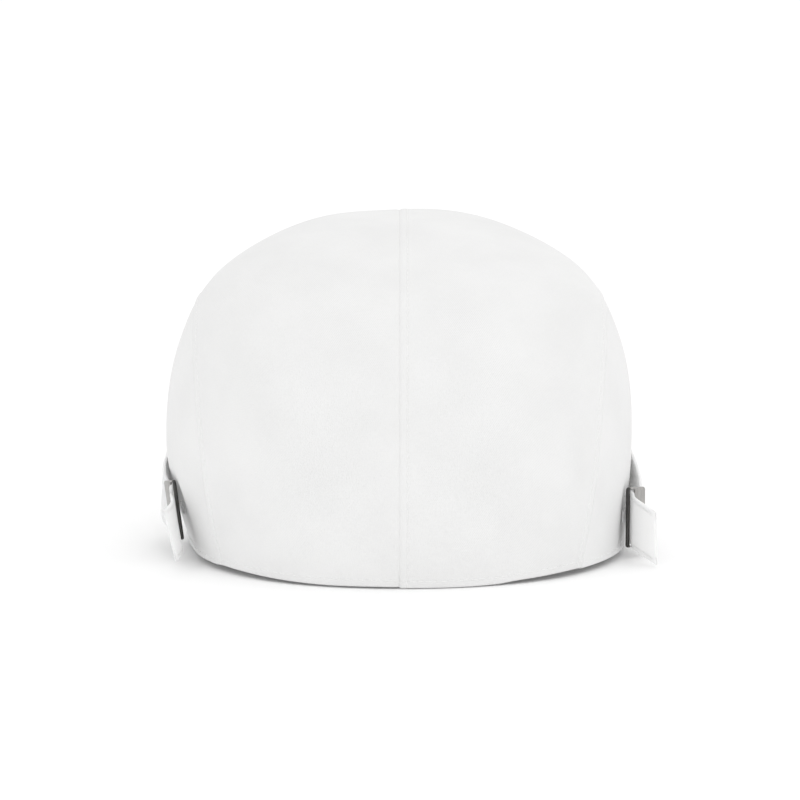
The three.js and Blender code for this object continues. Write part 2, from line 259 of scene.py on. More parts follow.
def face_normals(grid, outward):
    """The unit normal at each point of a grid, facing roughly along outward."""
    normal = np.cross(np.gradient(grid, axis=0), np.gradient(grid, axis=1))
    normal /= np.maximum(np.linalg.norm(normal, axis=-1, keepdims=True), 1e-9)
    flip = np.sum(normal * outward, axis=-1, keepdims=True) < 0
    return np.where(flip, -normal, normal)


def rolled(distance, radius):
    """How far cloth has turned in at a distance from its folded edge."""
    d = np.clip(distance, 0, radius)
    return radius - np.sqrt(np.maximum(radius**2 - (radius - d) ** 2, 0))


def groove(distance, width):
    return np.exp(-((distance / width) ** 2))


# Slow swells and hollows of the soft cloth, seen from behind: the place across and up, half sizes across
# and up, how far it leans, and how far it stands out or in.
folds = [
    {"x": -14, "z": 121, "across": 12, "up": 20, "lean": 0.5, "out": -1.1},
    {"x": 34, "z": 104, "across": 16, "up": 22, "lean": -0.5, "out": 0.5},
    {"x": -46, "z": 84, "across": 15, "up": 26, "lean": 0.6, "out": 0.5},
    {"x": -34, "z": 46, "across": 9, "up": 34, "lean": 0.1, "out": -0.5},
    {"x": 21, "z": 52, "across": 9, "up": 40, "lean": -0.05, "out": -0.35},
    {"x": 52, "z": 40, "across": 10, "up": 30, "lean": -0.1, "out": 0.5},
    {"x": -58, "z": 30, "across": 8, "up": 20, "lean": 0.35, "out": 0.5},
    {"x": 66, "z": 92, "across": 8, "up": 13, "lean": -0.9, "out": 0.7},
    {"x": -68, "z": 88, "across": 8, "up": 13, "lean": 0.9, "out": 0.4},
]
back_ripple = {"out": 0.22, "across": 9.5, "lean": 0.02, "up": 31.0, "start": 0.8}
front_ripple = {"out": 0.5, "along": 17.0, "slant": 23.0, "across": 21.0}
change_over = 30.0


def swell(points):
    """How far the slack of the cloth stands out at each point."""
    x, y, z = points[..., 0], points[..., 1], points[..., 2]
    slanted = np.sin(x / back_ripple["across"] + back_ripple["lean"] * z)
    total = back_ripple["out"] * slanted * np.sin(z / back_ripple["up"] + back_ripple["start"])
    for fold in folds:
        up = (z - fold["z"]) / fold["up"]
        across = (x - fold["x"] - fold["lean"] * (z - fold["z"])) / fold["across"]
        total = total + fold["out"] * np.exp(-(up**2) - across**2)
    behind = eased(-y, -change_over, change_over)
    ahead = front_ripple["out"] * np.sin(y / front_ripple["along"] + x / front_ripple["slant"])
    return total * behind + ahead * np.sin(x / front_ripple["across"]) * (1 - behind)


def ring_of_edges(rows, columns):
    """The point numbers round the outside of a grid, in order."""
    at = np.arange(rows * columns).reshape(rows, columns)
    return np.concatenate([at[:-1, 0], at[-1, :-1], at[:0:-1, -1], at[0, :0:-1]])


def closed_sheet(outer, inner):
    """Points and faces of a closed body between two grids of the same size."""
    rows, columns = outer.shape[:2]
    half = rows * columns
    at = np.arange(half).reshape(rows, columns)
    quads = np.stack([at[:-1, :-1], at[1:, :-1], at[1:, 1:], at[:-1, 1:]], axis=-1).reshape(-1, 4)
    ring = ring_of_edges(rows, columns)
    after = np.roll(ring, -1)
    sides = np.stack([ring, ring + half, after + half, after], axis=-1)
    faces = np.concatenate([quads, quads[:, ::-1] + half, sides])
    points = np.concatenate([outer.reshape(-1, 3), inner.reshape(-1, 3)])
    first, second, third, fourth = (points[faces[:, k]] for k in range(4))
    volume = np.sum(first * np.cross(second, third)) + np.sum(first * np.cross(third, fourth))
    return points, (faces if volume > 0 else faces[:, ::-1]).tolist()


def new_piece(name, points, faces, finish, marks=None):
    """A mesh object in the shared frame from points in millimetres, with named numbers on its points."""
    mesh = bpy.data.meshes.new(name)
    mesh.from_pydata(((points - middle) / 1000).tolist(), [], faces)
    mesh.shade_smooth()
    for label, values in (marks or {}).items():
        kind, store = ("FLOAT_VECTOR", "vector") if values.ndim == 2 else ("FLOAT", "value")
        mark = mesh.attributes.new(label, kind, "POINT")
        mark.data.foreach_set(store, values.astype(np.float32).ravel())
    mesh.materials.append(finish)
    piece = bpy.data.objects.new(name, mesh)
    scene.collection.objects.link(piece)
    return piece


def weave_places(across, along):
    """Each point's place in the weave, in millimetres, with the inner face on another stretch of it."""
    inner_shift = (300.0, 0.0, 0.0)
    flat = np.stack([across, along, np.zeros(along.shape)], axis=-1).reshape(-1, 3)
    return np.concatenate([flat, flat + inner_shift])


class Field:
    """A value that varies over a surface: a socket of a finish's nodes, with arithmetic on it."""

    def __init__(self, tree, socket=None):
        self.tree = tree
        self.socket = socket

    def node(self, kind, settings=None, inputs=None, output=0):
        made = self.tree.nodes.new("ShaderNode" + kind)
        for name, setting in (settings or {}).items():
            setattr(made, name, setting)
        for name, value in (inputs or {}).items():
            if isinstance(value, Field):
                self.tree.links.new(value.socket, made.inputs[name])
            else:
                made.inputs[name].default_value = value
        return Field(self.tree, made.outputs[output])

    def maths(self, operation, *values):
        return self.node("Math", {"operation": operation}, dict(enumerate(values)))

    def __add__(self, other):
        return self.maths("ADD", self, other)

    def __mul__(self, other):
        return self.maths("MULTIPLY", self, other)

    __radd__ = __add__
    __rmul__ = __mul__

    def sine(self):
        return self.maths("SINE", self)

    def ramp(self, low, high):
        """0 below low and 1 above high, with a smooth S between."""
        inputs = {"Value": self, "From Min": low, "From Max": high}
        return self.node("MapRange", {"interpolation_type": "SMOOTHSTEP"}, inputs)

    def part(self, axis):
        return self.node("SeparateXYZ", None, {0: self}, axis)

    def noise(self, scale, detail):
        inputs = {"Vector": self, "Scale": scale, "Detail": detail}
        return self.node("TexNoise", None, inputs)

    def stretched(self, x, y, z):
        inputs = {0: self, 1: (x, y, z)}
        return self.node("VectorMath", {"operation": "MULTIPLY"}, inputs)

    def blend(self, first, second):
        """The colour first where this is 0, second where it is 1, and a mix between."""
        return self.node("Mix", {"data_type": "RGBA"}, {0: self, 6: first, 7: second}, 2)

    def colours(self, dark, light):
        return self.blend((*dark, 1.0), (*light, 1.0))

    def bump(self, strength, distance):
        inputs = {"Height": self, "Strength": strength, "Distance": distance}
        return self.node("Bump", None, inputs)

    def feed(self, shader, name):
        self.tree.links.new(self.socket, shader.inputs[name])


def finish_named(name, constants):
    """A new material, the start of its fields, and its shader with plain numbers on its sockets."""
    material = bpy.data.materials.new(name)
    material.use_nodes = True
    shader = material.node_tree.nodes["Principled BSDF"]
    for socket, value in constants.items():
        shader.inputs[socket].default_value = value
    return material, Field(material.node_tree), shader


cotton = {"Roughness": 0.9, "IOR": 1.35, "Sheen Weight": 0.12, "Sheen Roughness": 0.6}
twill = {
    "rib_slant": 0.62, "rib_pitch": 0.72, "rib_waver": 0.5, "waver_scale": 0.35, "cloud_scale": 0.035,
    "across_thread": 3.2, "along_thread": 0.5, "strength": 0.35, "height": 0.00012,
}


def twill_finish(name, dark, light):
    """White cotton twill: fine slanting ribs, uneven threads and a faint cloudiness."""
    material, start, shader = finish_named(name, cotton)
    weave = start.node("Attribute", {"attribute_name": "weave"}, None, "Vector")
    across, along = weave.part(0), weave.part(1)
    uneven = weave.noise(twill["waver_scale"], 3.0)
    slanted = across + along * twill["rib_slant"] + uneven * twill["rib_waver"]
    ribs = (slanted * (2 * math.pi / twill["rib_pitch"])).sine()
    warp = weave.stretched(twill["across_thread"], twill["along_thread"], 1.0).noise(1.0, 2.0)
    weft = weave.stretched(twill["along_thread"], twill["across_thread"], 1.0).noise(1.0, 2.0)
    cloud = weave.noise(twill["cloud_scale"], 3.0)
    tone = cloud * 0.55 + warp * 0.25 + weft * 0.2
    tone.ramp(0.3, 0.7).colours(dark, light).feed(shader, "Base Color")
    (0.86 + warp * 0.1).feed(shader, "Roughness")
    height = ribs * 0.35 + warp * 0.6 + weft * 0.6
    height.bump(twill["strength"], twill["height"]).feed(shader, "Normal")
    return material


cap_cloth = twill_finish("cap_cloth", (0.79, 0.79, 0.787), (0.84, 0.84, 0.837))

# The rows of stitches, the bands of spare cloth under them, and the lines where the cloth is turned in.
stitch_inset = 3.0
stitch_pitch = 2.9
furrow_width = 0.42
band_edge = {"from": 0.1, "full": 0.7, "past_stitches": 1.1}
seam = {"side_band": 0.34, "middle_band": 0.18, "furrow": 0.3, "turn_in": 0.3, "turn_width": 0.6}
hem = {"band": 0.42, "furrow": 0.36, "roll": 0.9}
drawn_in = {"share": 0.35, "short": 2.3, "long": 7.1}

# The hem stands a little off the table, apart from a stretch right of the middle that rests on it.
floor_clear = 0.02
off_table = {"lift": 0.4, "from_x": 36.0, "full_x": 44.0, "fades_by_z": 14.0}

crown_grid = {"rows_apart": 1.15, "columns_apart": 1.5, "trial_rows": 1501, "trial_columns": 161}


def crown_panel(sign):
    """The outer face of one crown panel as a grid, and each point's distances from its edges."""
    trial = np.linspace(0, np.pi, crown_grid["trial_rows"])
    travelled = lengths_along(crown_point(trial, np.zeros(trial.shape)))
    rows_at = stops_between(travelled[-1], edge_steps, edge_steps, crown_grid["rows_apart"])
    angle = np.interp(rows_at, travelled, trial)[:, None]
    trial_x = side_seam_x(angle) * np.linspace(0, 1, crown_grid["trial_columns"])
    across = lengths_along(crown_point(angle, sign * trial_x))
    inside = inner_count(across[:, -1].min(), edge_steps, edge_steps, crown_grid["columns_apart"])
    places = []
    for row_across, row_x in zip(across, trial_x):
        wanted = places_between(row_across[-1], edge_steps, edge_steps, inside)
        places.append(np.interp(wanted, row_across, row_x))
    base = crown_point(angle, sign * np.array(places))
    from_middle = lengths_along(base)
    from_side = from_middle[:, -1:] - from_middle
    from_hem = base[..., 2]
    return base, from_middle, from_side, from_hem


def puckered(along):
    """How deep stitches draw the cloth in: all the way at each hole, and half as deep between two."""
    return 0.75 + 0.25 * np.cos(2 * np.pi * along / stitch_pitch)


def sewn_relief(band, furrow, distance, along):
    """How far cloth stands out beside an edge: its band of spare cloth less its furrow of stitches."""
    raised = eased(distance, band_edge["from"], band_edge["full"])
    raised = raised * (1 - eased(distance, stitch_inset, stitch_inset + band_edge["past_stitches"]))
    return band * raised - furrow * (groove(distance - stitch_inset, furrow_width) * puckered(along))


def crown_surfaces(sign):
    """The faces of one crown panel, and what its rows of stitches are measured on."""
    base, from_middle, from_side, from_hem = crown_panel(sign)
    inside_cap = np.array((0, apex_y, 20.0))
    normal = face_normals(base, base - inside_cap)
    along = lengths_along(np.swapaxes(base, 0, 1)).T
    behind = base[..., 1] < peak_from_y
    relief = swell(base) + sewn_relief(seam["side_band"], seam["furrow"], from_side, along)
    if sign > 0:
        relief += sewn_relief(seam["middle_band"], seam["furrow"], from_middle, along)
    relief += np.where(behind, sewn_relief(hem["band"], hem["furrow"], from_hem, from_middle), 0.0)
    drawn = np.sin(along / drawn_in["short"]) * np.sin(along / drawn_in["long"] + 1)
    seams = groove(from_middle, seam["turn_width"]) + groove(from_side, seam["turn_width"])
    seam_turn = seam["turn_in"] * seams * (1 + drawn_in["share"] * drawn)
    hem_turn = rolled(np.minimum(along, along[-1:] - along), hem["roll"])
    outer = settled(base + normal * (relief - seam_turn - hem_turn)[..., None])
    inner = settled(base + normal * (swell(base) - wall + hem_turn)[..., None])
    inner[0, :, 2] = np.maximum(outer[0, :, 2], inner[0, :, 2])
    lifted = eased(base[..., 0], off_table["from_x"], off_table["full_x"])
    lift = np.where(sign < 0, off_table["lift"], floor_clear + off_table["lift"] * lifted)
    lift = lift * (1 - eased(base[..., 2], 0, off_table["fades_by_z"])) * behind
    for face in (outer, inner):
        face[..., 2] = np.maximum(face[..., 2] + lift, floor_clear)
    return {
        "outer": outer, "inner": inner, "normal": normal, "along": along,
        "from_middle": from_middle, "from_side": from_side, "from_hem": from_hem,
    }


crown_sheets = {}
for side, sign in (("left", -1), ("right", 1)):
    sheet = crown_surfaces(sign)
    points, faces = closed_sheet(sheet["outer"], sheet["inner"])
    marks = {"weave": weave_places(sheet["from_middle"] * sign, sheet["along"])}
    panel = new_piece(f"crown_{side}_cloth", points, faces, cap_cloth, marks)
    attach(panel, "root")
    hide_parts(f"crown_{side}")
    crown_sheets[side] = sheet

# The topstitching: white cotton thread, a little thicker than the cloth's own, sewn 3 mm from each seam
# and from the hem, with each stitch standing up between its two holes.
thread_look = {"Roughness": 0.75, "Sheen Weight": 0.1}
thread_cotton, thread_start, thread_shader = finish_named("thread", thread_look)
twist = thread_start.node("TexCoord", None, None, "Object").noise(2600.0, 1.0)
twist.colours((0.85, 0.85, 0.845), (0.92, 0.92, 0.915)).feed(thread_shader, "Base Color")
twist.bump(0.3, 0.00008).feed(thread_shader, "Normal")

stitch = {
    "length": 2.35, "radius": 0.17, "rise": 0.14, "sunk": 0.05, "first_at": 0.4, "bluntness": 6,
    "end_area": 0.02, "sides": 6, "rings": 7,
}


def stitch_row(path, normal):
    """Points and faces of a row of stitches along a line on the cloth."""
    travelled = lengths_along(path)
    starts = np.arange(stitch_pitch * stitch["first_at"], travelled[-1] - stitch_pitch, stitch_pitch)
    sides, rings = stitch["sides"], stitch["rings"]
    t = np.linspace(0, 1, rings)
    at = starts[:, None] + stitch["length"] * t[None, :]
    place = np.stack([np.interp(at, travelled, path[:, k]) for k in range(3)], axis=-1)
    up = np.stack([np.interp(at, travelled, normal[:, k]) for k in range(3)], axis=-1)
    up /= np.linalg.norm(up, axis=-1, keepdims=True)
    ahead = np.gradient(place, axis=1)
    ahead /= np.linalg.norm(ahead, axis=-1, keepdims=True)
    aside = np.cross(up, ahead)
    bow = 1 - (2 * t - 1) ** 2
    place = place + up * (stitch["rise"] * bow - stitch["sunk"])[None, :, None]
    area = np.maximum(1 - (2 * t - 1) ** stitch["bluntness"], stitch["end_area"])
    thick = stitch["radius"] * np.sqrt(area)
    ring = 2 * np.pi * np.arange(sides) / sides
    spoke = up[:, :, None] * np.cos(ring)[:, None] + aside[:, :, None] * np.sin(ring)[:, None]
    points = place[:, :, None] + spoke * thick[None, :, None, None]
    one = rings * sides
    faces = []
    for i in range(rings - 1):
        for j in range(sides):
            a, b = i * sides + j, i * sides + (j + 1) % sides
            faces.append((a, b, b + sides, a + sides))
    faces += [tuple(range(sides))[::-1], tuple(range(one - sides, one))]
    every = [tuple(k + one * s for k in face) for s in range(len(starts)) for face in faces]
    return points.reshape(-1, 3), every


def line_at(sheet, distances, wanted):
    """The line on a grid that keeps a wanted distance from the edge that distances are measured from."""
    inside = distances >= wanted
    after = np.argmax(inside, axis=1)
    keep = inside.any(axis=1) & (after > 0)
    rows = np.nonzero(keep)[0]
    k = after[keep]
    low, high = distances[rows, k - 1], distances[rows, k]
    t = ((wanted - low) / np.maximum(high - low, 1e-9))[:, None]
    return between(sheet[rows, k - 1], sheet[rows, k], t)


def inset_row(sheet, normal, distances, inset=stitch_inset):
    """Where a row of stitches runs beside an edge, and which way the cloth faces there."""
    return line_at(sheet, distances, inset), line_at(normal, distances, inset)


def sewn(name, rows):
    """One piece made of several rows of stitches."""
    points, faces, count = [], [], 0
    for path, normal in rows:
        row_points, row_faces = stitch_row(path, normal)
        points.append(row_points)
        faces += [tuple(k + count for k in face) for face in row_faces]
        count += len(row_points)
    piece = new_piece(name, np.concatenate(points), faces, thread_cotton)
    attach(piece, "root")


for side, sheet in crown_sheets.items():
    grids = sheet["outer"], sheet["normal"]
    back_half = len(sheet["outer"]) // 2
    upright = (np.swapaxes(grid[:back_half], 0, 1) for grid in (*grids, sheet["from_hem"]))
    from_side_in = (grid[:, ::-1] for grid in (*grids, sheet["from_side"]))
    rows = [inset_row(*from_side_in), inset_row(*upright)]
    if side == "right":
        rows.append(inset_row(*grids, sheet["from_middle"]))
    sewn(f"crown_{side}_topstitch", rows)


# The side panels: one curved cloth panel over each ear, sewn to the crown along a long arch and hemmed
# like it. The adjuster draws each one in a little at the back.
pinch = {"y": -30.0, "z": 16.0, "half_length": 22.0, "half_height": 22.0, "left": 3.7, "right": 1.2}
side_grid = {
    "rows": 240, "from_tips": 0.6, "columns_apart": 1.4, "full_height": 90.0, "low_end": 12.0,
    "trial_rows": 1201, "trial_columns": 121,
}
side_seam_steps = edge_steps[:9]


def wall_point(turn, z):
    """A point on the side wall's outer face, drawn in where the adjuster pulls it."""
    out = reach(turn, z)
    y = apex_y - out * np.cos(turn)
    along = 1 - eased(np.abs(y - pinch["y"]), 0, pinch["half_length"])
    up = 1 - eased(np.abs(z - pinch["z"]), 0, pinch["half_height"])
    depth = np.where(turn > 0, pinch["right"], pinch["left"]) * along * up
    return np.stack(np.broadcast_arrays((out - depth) * np.sin(turn), y, z), axis=-1)


def side_seam(angle, sign):
    """The side seam's points at angles over the crown, and their turns round the wall."""
    seam_line = crown_point(angle, sign * side_seam_x(angle))
    return seam_line, np.arctan2(seam_line[:, 0], apex_y - seam_line[:, 1])


def side_surfaces(sign):
    """The faces of one side panel, and what its row of stitches is measured on."""
    trial = np.linspace(0, np.pi, side_grid["trial_rows"])
    travelled = lengths_along(side_seam(trial, sign)[0])
    tips = side_grid["from_tips"]
    angle = np.interp(np.linspace(tips, travelled[-1] - tips, side_grid["rows"]), travelled, trial)
    seam_line, seam_turn = side_seam(angle, sign)
    end_turn = side_seam(np.array((0, np.pi)), sign)[1]
    hem_turn = between(end_turn[0], end_turn[1], angle / np.pi)

    def wall_grid(up):
        return wall_point(between(hem_turn[:, None], seam_turn[:, None], up), seam_line[:, 2:] * up)

    trial_up = np.linspace(0, 1, side_grid["trial_columns"])
    heights = lengths_along(wall_grid(trial_up))
    tall, apart = side_grid["full_height"], side_grid["columns_apart"]
    inside = inner_count(tall, edge_steps, side_seam_steps, apart)
    up = []
    for row in heights:
        squeeze = min(1.0, row[-1] / side_grid["low_end"])
        near, far = np.array(edge_steps) * squeeze, np.array(side_seam_steps) * squeeze
        up.append(np.interp(places_between(row[-1], near, far, inside), row, trial_up))
    base = wall_grid(np.array(up))
    from_hem = lengths_along(base)
    from_seam = from_hem[:, -1:] - from_hem
    normal = face_normals(base, base * (1, 0, 0))
    along = lengths_along(np.swapaxes(base, 0, 1)).T
    relief = swell(base) + sewn_relief(hem["band"], hem["furrow"], from_hem, along)
    fold_in = rolled(from_hem, hem["roll"])
    turn_in = seam["turn_in"] * groove(from_seam, seam["turn_width"]) + fold_in
    outer = settled(base + normal * (relief - turn_in)[..., None])
    inner = settled(base + normal * (swell(base) - wall + fold_in)[..., None])
    return outer, inner, normal, from_hem


for side, sign in (("left", -1), ("right", 1)):
    outer, inner, normal, from_hem = side_surfaces(sign)
    points, faces = closed_sheet(outer, inner)
    marks = {"weave": weave_places(outer[..., 1], outer[..., 2])}
    panel = new_piece(f"side_{side}_cloth", points, faces, cap_cloth, marks)
    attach(panel, "root")
    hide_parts(f"side_{side}")
    sewn(f"side_{side}_topstitch", [inset_row(outer, normal, from_hem)])


# The peak: a stiff board covered in the same twill, hidden behind the crown in a view from the back. Its
# rim is a rounded fold with a row of stitches inside it.
peak_root = {"half_width": 68.0, "front_y": 97.0}
peak_root_steps = (0, 0.2, 0.6, 1.2)
peak_rim_steps = (0, 0.1, 0.3, 0.6, 1.0, 1.5, 2.2, 3.2, 4.2, 4.6, 5.0, 5.4, 5.8)
peak_grid = {"rows": 201, "columns_apart": 2.4}
peak_rim = {"roll": 1.4, "inset": 5.0, "furrow": 0.3, "furrow_width": 0.5}


def peak_surface():
    """The top of the peak as a grid from its root to its rim, and each point's distances on it."""
    turn = np.linspace(-np.pi / 2, np.pi / 2, peak_grid["rows"])[:, None]
    depth = peak["front_y"] - peak_root["front_y"]
    out = stops_between(depth, peak_root_steps, peak_rim_steps, peak_grid["columns_apart"]) / depth
    x = np.sin(turn) * between(peak_root["half_width"], peak["half_width"], out)
    front = between(peak_root["front_y"], peak["front_y"], out)
    y = peak["start_y"] + np.cos(turn) * (front - peak["start_y"])
    base = np.stack([x, y, peak_top(x, y)], axis=-1)
    return base, lengths_along(base), lengths_along(np.swapaxes(base, 0, 1)).T


base, from_root, along = peak_surface()
normal = face_normals(base, np.array((0, 0, 1.0)))
from_rim = from_root[:, -1:] - from_root
from_ends = np.minimum(along, along[-1:, :] - along)
fold_in = rolled(np.minimum(np.minimum(from_rim, from_root), from_ends), peak_rim["roll"])
furrow = peak_rim["furrow"] * groove(from_rim - peak_rim["inset"], peak_rim["furrow_width"])
top = base - normal * (fold_in + furrow)[..., None]
under = base - normal * (peak["thick"] - fold_in - furrow)[..., None]
points, faces = closed_sheet(top, under)
marks = {"weave": weave_places(base[..., 0], base[..., 1])}
peak_piece = new_piece("peak_cloth", points, faces, cap_cloth, marks)
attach(peak_piece, "root")
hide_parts("peak")
row = inset_row(top[:, ::-1], normal[:, ::-1], from_rim[:, ::-1], peak_rim["inset"])
sewn("peak_topstitch", [row])


# The adjuster straps: a strip of the same twill folded double and stitched near both edges. Each is sewn
# to its side panel in front, runs back to the buckle, passes behind the plate and out through its slot,
# and its free end stands out behind.
buckle = {
    "length": 12.0, "height": 22.8, "thick": 1.2, "rear_bar": 1.6, "slot": 3.6, "slot_height": 21.4,
    "corner": 1.2, "edge_round": 0.4,
}
strap = {
    "thick": 1.2, "width": 20.0, "slant": 47.0, "drop_in_slot": 0.3, "free": 0.66, "hug": 0.45,
    "lean_early": 0.6, "inset": 1.7, "furrow": 0.16, "furrow_width": 0.4,
}
tab = {"thick": 1.0, "start": 0.8, "length": 3.6, "height": 4.6, "stand": 0.4}
adjusters = [
    {
        "side": "left", "sign": -1, "wall_y": -42.0, "mid_z": 20.0,
        "flare": 19.0, "lean": 11.0, "dip": 5.0, "clear_of_plate": 1.5,
        "tail_angle": 24.0, "tail_curve": 0.8, "tail_length": 22.0, "tail_drop": 5.0,
        "root_drop": 3.8, "tail_twist": -6.0, "bow": 4.0, "bow_twist": 17.0,
        "sewn_y": 44.0, "sewn_z": 29.0,
    },
    {
        "side": "right", "sign": 1, "wall_y": -40.0, "mid_z": 16.2,
        "flare": 26.0, "lean": 7.8, "dip": 4.0, "clear_of_plate": 2.0,
        "tail_angle": 60.0, "tail_curve": 0.0, "tail_length": 19.0, "tail_drop": 5.0,
        "root_drop": 2.0, "tail_twist": 2.0, "bow": -11.0, "bow_twist": 4.0,
        "sewn_y": 44.0, "sewn_z": 30.0,
    },
]
tail_parts = (1, 0.8, 0.6, 0.4, 0.2, 0.08, 0)
wall_parts = (0.15, 0.3, 0.45, 0.6, 0.7, 0.8, 0.9, 1)


def turn_at_y(sign, y, z):
    """The turn at which the wall of one side comes to a place along the cap."""
    near, far = 0.0, math.pi
    for _ in range(halvings):
        turn = (near + far) / 2
        if wall_point(np.float64(sign * turn), np.float64(z))[1] < y:
            near = turn
        else:
            far = turn
    return sign * near


def unit(vector):
    return vector / np.linalg.norm(vector)


def wall_frame(sign, y, z):
    """A place on the side wall, and the directions forward along it, up it and out of it."""
    place = wall_point(turn_at_y(sign, y, z), z)
    forward = unit(wall_point(turn_at_y(sign, y + 1, z), z) - place)
    up = unit(wall_point(turn_at_y(sign, y, z + 1), z + 1) - place)
    out = unit(np.cross(forward, up))
    out = -out if out[0] * sign < 0 else out
    up = unit(np.cross(out, forward))
    return place, forward, -up if up[2] < 0 else up, out


def tipped(first, second, degrees):
    """Two directions turned together, the first towards the second."""
    c, s = math.cos(math.radians(degrees)), math.sin(math.radians(degrees))
    return first * c + second * s, second * c - first * s


def buckle_frame(adjuster):
    """Zero at the middle of the plate's rear end, and the directions along it, up it and out of it."""
    place, along, up, side_out = wall_frame(adjuster["sign"], adjuster["wall_y"], adjuster["mid_z"])
    along, out = tipped(along, side_out, adjuster["flare"])
    up, out = tipped(up, out, -adjuster["lean"])
    along, up = tipped(along, up, -adjuster["dip"])
    stand = 2 * tab["stand"] + tab["thick"] + buckle["thick"] / 2
    return place + side_out * stand, along, up, out


def strap_line(adjuster):
    """The strap's middle line from the tip of its tail to its sewn end, the way up it at each point, and
    which points are the first and the last at the buckle."""
    origin, along, up, out = buckle_frame(adjuster)

    def place(u, n, h=0.0):
        return origin + along * u + out * n + up * h

    slot_middle = buckle["rear_bar"] + buckle["slot"] / 2
    behind = -(buckle["thick"] / 2 + seat_gap + strap["thick"] / 2)
    slant = math.tan(math.radians(strap["slant"]))
    clear_n = adjuster["clear_of_plate"]
    clear_u = slot_middle - clear_n / slant
    tail = math.radians(adjuster["tail_angle"])
    line, ups = [], []
    for part in tail_parts:
        free = adjuster["tail_length"] * part
        away = free * math.sin(tail) * between(1, part, adjuster["tail_curve"])
        drop = adjuster["root_drop"] + adjuster["tail_drop"] * part
        line.append(place(clear_u - free * math.cos(tail), clear_n + away, -drop))
        ups.append(tipped(up, out, -adjuster["tail_twist"] * part)[0])
    bend = slot_middle - behind / slant
    face = (buckle["thick"] + strap["thick"]) / 2
    front = place(buckle["length"], behind)
    through = [
        place(slot_middle - face / slant, face, -strap["drop_in_slot"]),
        place(slot_middle, 0, -strap["drop_in_slot"] / 2),
        place(bend, behind),
        place(between(bend, buckle["length"], 0.7), behind),
        front,
    ]
    at_buckle = len(line) - 1, len(line) + len(through) - 1
    line += through
    ups += [up] * len(through)
    start_off = np.linalg.norm(front - wall_frame(adjuster["sign"], front[1], adjuster["mid_z"])[0])
    hug = strap["hug"] + strap["thick"] / 2
    for part in wall_parts:
        y = between(front[1], adjuster["sewn_y"], part)
        z = between(adjuster["mid_z"], adjuster["sewn_z"], part)
        spot, _, spot_up, spot_out = wall_frame(adjuster["sign"], y, z)
        free = 1 - float(eased(part, 0, strap["free"]))
        off = between(hug, start_off, free) + adjuster["bow"] * part * free**2
        leaning = math.sin(math.pi * min(part / strap["free"], 1) ** strap["lean_early"])
        line.append(spot + spot_out * off)
        ups.append(tipped(spot_up, spot_out, -adjuster["bow_twist"] * leaning)[0])
    return np.array(line), np.array(ups), at_buckle


def smooth_line(line, ups, at_buckle, step):
    """The strap's line in short steps: slack and rounded, but bent sharply at the buckle."""
    rounds, rounds_everywhere, beside_buckle = 60, 3, 1.0
    travelled = lengths_along(line)
    at = np.linspace(0, travelled[-1], int(travelled[-1] / step))
    rows = np.concatenate([line, ups], axis=1)
    fine = np.stack([np.interp(at, travelled, rows[:, k]) for k in range(6)], axis=-1)
    first, last = (travelled[k] for k in at_buckle)
    held = (at > first - beside_buckle) & (at < last + beside_buckle)
    slack = np.where(held, 0.0, 1.0)[1:-1, None]
    for done in range(rounds):
        pull = 1.0 if done < rounds_everywhere else slack
        fine[1:-1] += (fine[:-2] - 2 * fine[1:-1] + fine[2:]) / 4 * pull
    return fine[:, :3], fine[:, 3:]


# Light comes through the strap where it stands free, and not where it lies on the wall.
# Painted light: the strap's colour is lighter than the cap's twill, though it is the same cloth, to lift
# the shade on its tails and beside the wall.
strap_cloth = twill_finish("strap_cloth", (0.86, 0.86, 0.857), (0.91, 0.91, 0.907))
on_wall_from, on_wall_to = 58.0, 86.0
strap_tree = strap_cloth.node_tree
lying = strap_tree.nodes["Principled BSDF"]
strap_start = Field(strap_tree)
see_through = {
    **cotton, "Subsurface Weight": 1.0, "Subsurface Scale": 0.007, "Subsurface Radius": (1.0, 1.0, 0.97),
}
for name in ("Base Color", "Roughness", "Normal"):
    see_through[name] = Field(strap_tree, lying.inputs[name].links[0].from_socket)
standing = strap_start.node("BsdfPrincipled", None, see_through)
from_tip = strap_start.node("Attribute", {"attribute_name": "from_tip"}, None, "Fac")
on_wall = from_tip.ramp(on_wall_from, on_wall_to)
shaders = {0: on_wall, 1: standing, 2: Field(strap_tree, lying.outputs[0])}
strap_start.node("MixShader", None, shaders).feed(strap_tree.nodes["Material Output"], "Surface")

